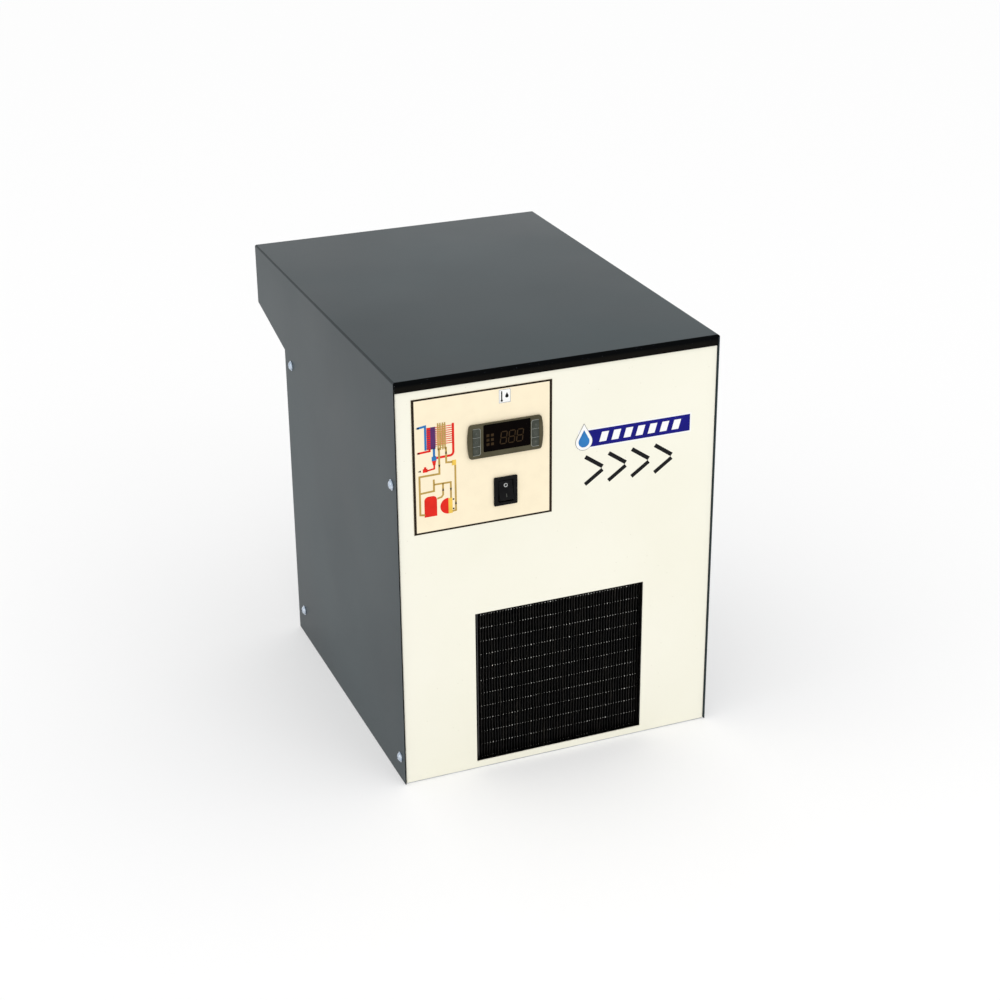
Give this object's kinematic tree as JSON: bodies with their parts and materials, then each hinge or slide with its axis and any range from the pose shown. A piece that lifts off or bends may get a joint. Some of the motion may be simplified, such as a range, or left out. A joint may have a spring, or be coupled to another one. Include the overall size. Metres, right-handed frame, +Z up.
{
  "type": "refrigerated air dryer",
  "caption": "Compact refrigerated compressed-air dryer: charcoal sheet-metal cover with a rear hood, cream front, thermostat, rocker switch and condenser opening.",
  "frame": {"origin": "middle of the base, where it rests on the floor", "axes": "+X to the right seen from the front, +Y from the front to the back, +Z up"},
  "size_m": [0.3778, 0.5196, 0.475],
  "materials": {
    "charcoal_paint": "satin textured powder coat",
    "cream_paint": "satin powder coat",
    "galvanised_sheet": "galvanised",
    "zinc_screws": "bright zinc plate",
    "printed_label": "printed polyester",
    "olive_plastic": "moulded, fine grain",
    "dark_window": "polished, smoked",
    "black_plastic": "moulded, semi-gloss",
    "black_enamel": "black enamel",
    "copper": "drawn copper",
    "aluminium": "mill finish",
    "machined_steel": "machined",
    "brass": "machined brass",
    "foam": "closed-cell foam",
    "rubber": "moulded rubber",
    "hose_plastic": "soft hose"
  },
  "bodies": {
    "cabinet": {"air_inlet_port": "brass", "air_outlet_port": "brass", "base_pan": "galvanised_sheet", "bypass_line": "copper", "capillary_tube": "copper", "compressor_foot_1": "rubber", "compressor_foot_2": "rubber", "compressor_foot_3": "rubber", "compressor_foot_4": "rubber", "compressor_motor_block": "machined_steel", "compressor_shell_lower": "black_enamel", "compressor_shell_upper": "black_enamel", "compressor_terminal_cover": "black_plastic", "condenser_end_plate_left": "black_enamel", "condenser_end_plate_right": "black_enamel", "condenser_fins": "black_enamel", "condenser_tube": "copper", "control_overlay": "printed_label", "controller_bezel": "olive_plastic", "controller_case": "black_plastic", "controller_window": "dark_window", "cover": "charcoal_paint", "cover_screw_left_front_high": "zinc_screws", "cover_screw_left_front_low": "zinc_screws", "cover_screw_left_rear_high": "zinc_screws", "cover_screw_left_rear_low": "zinc_screws", "cover_screw_right_front_high": "zinc_screws", "cover_screw_right_front_low": "zinc_screws", "cover_screw_right_rear_high": "zinc_screws", "cover_screw_right_rear_low": "zinc_screws", "discharge_line": "copper", "drain_coil": "black_plastic", "drain_hose": "hose_plastic", "drain_outlet_fitting": "black_plastic", "drain_valve_body": "brass", "exchanger_stand": "galvanised_sheet", "fan_bracket": "galvanised_sheet", "fan_motor": "black_enamel", "fan_shroud": "galvanised_sheet", "filter_drier": "copper", "front_panel": "cream_paint", "heat_exchanger": "aluminium", "hot_gas_valve": "brass", "insulation_left": "foam", "insulation_right": "foam", "liquid_line": "copper", "power_inlet": "black_plastic", "rear_panel": "charcoal_paint", "suction_line": "copper", "switch_body": "black_plastic"},
    "rocker": {"switch_rocker": "black_plastic"},
    "fan": {"fan_blade": "aluminium"},
    "crankshaft": {"compressor_crankshaft": "machined_steel"},
    "drain_plunger_body": {"drain_plunger": "machined_steel"},
    "key_left_bottom_body": {"key_left_bottom": "olive_plastic"},
    "key_left_middle_body": {"key_left_middle": "olive_plastic"},
    "key_left_top_body": {"key_left_top": "olive_plastic"},
    "key_right_bottom_body": {"key_right_bottom": "olive_plastic"},
    "key_right_middle_body": {"key_right_middle": "olive_plastic"},
    "key_right_top_body": {"key_right_top": "olive_plastic"}
  },
  "joints": [
    {"name": "switch_rock", "type": "hinge", "parent": "cabinet", "child": "rocker", "pos_m": [-0.0635, -0.25217, 0.3361], "axis": [1, 0, 0], "range_deg": [0, 24]},
    {"name": "fan_spin", "type": "hinge", "parent": "cabinet", "child": "fan", "pos_m": [0.0045, -0.20247, 0.0998], "axis": [0, 1, 0], "continuous": true},
    {"name": "crank_spin", "type": "hinge", "parent": "cabinet", "child": "crankshaft", "pos_m": [-0.088, 0.02863, 0.03], "axis": [0, 0, 1], "continuous": true},
    {"name": "drain_lift", "type": "slide", "parent": "cabinet", "child": "drain_plunger_body", "axis": [0, -1, 0], "range_m": [0, 0.002], "stiffness_N_per_m": 300},
    {"name": "key_left_bottom_press", "type": "slide", "parent": "cabinet", "child": "key_left_bottom_body", "axis": [0, 1, 0], "range_m": [0, 0.0006], "stiffness_N_per_m": 1000},
    {"name": "key_left_middle_press", "type": "slide", "parent": "cabinet", "child": "key_left_middle_body", "axis": [0, 1, 0], "range_m": [0, 0.0006], "stiffness_N_per_m": 1000},
    {"name": "key_left_top_press", "type": "slide", "parent": "cabinet", "child": "key_left_top_body", "axis": [0, 1, 0], "range_m": [0, 0.0006], "stiffness_N_per_m": 1000},
    {"name": "key_right_bottom_press", "type": "slide", "parent": "cabinet", "child": "key_right_bottom_body", "axis": [0, 1, 0], "range_m": [0, 0.0006], "stiffness_N_per_m": 1000},
    {"name": "key_right_middle_press", "type": "slide", "parent": "cabinet", "child": "key_right_middle_body", "axis": [0, 1, 0], "range_m": [0, 0.0006], "stiffness_N_per_m": 1000},
    {"name": "key_right_top_press", "type": "slide", "parent": "cabinet", "child": "key_right_top_body", "axis": [0, 1, 0], "range_m": [0, 0.0006], "stiffness_N_per_m": 1000}
  ]
}
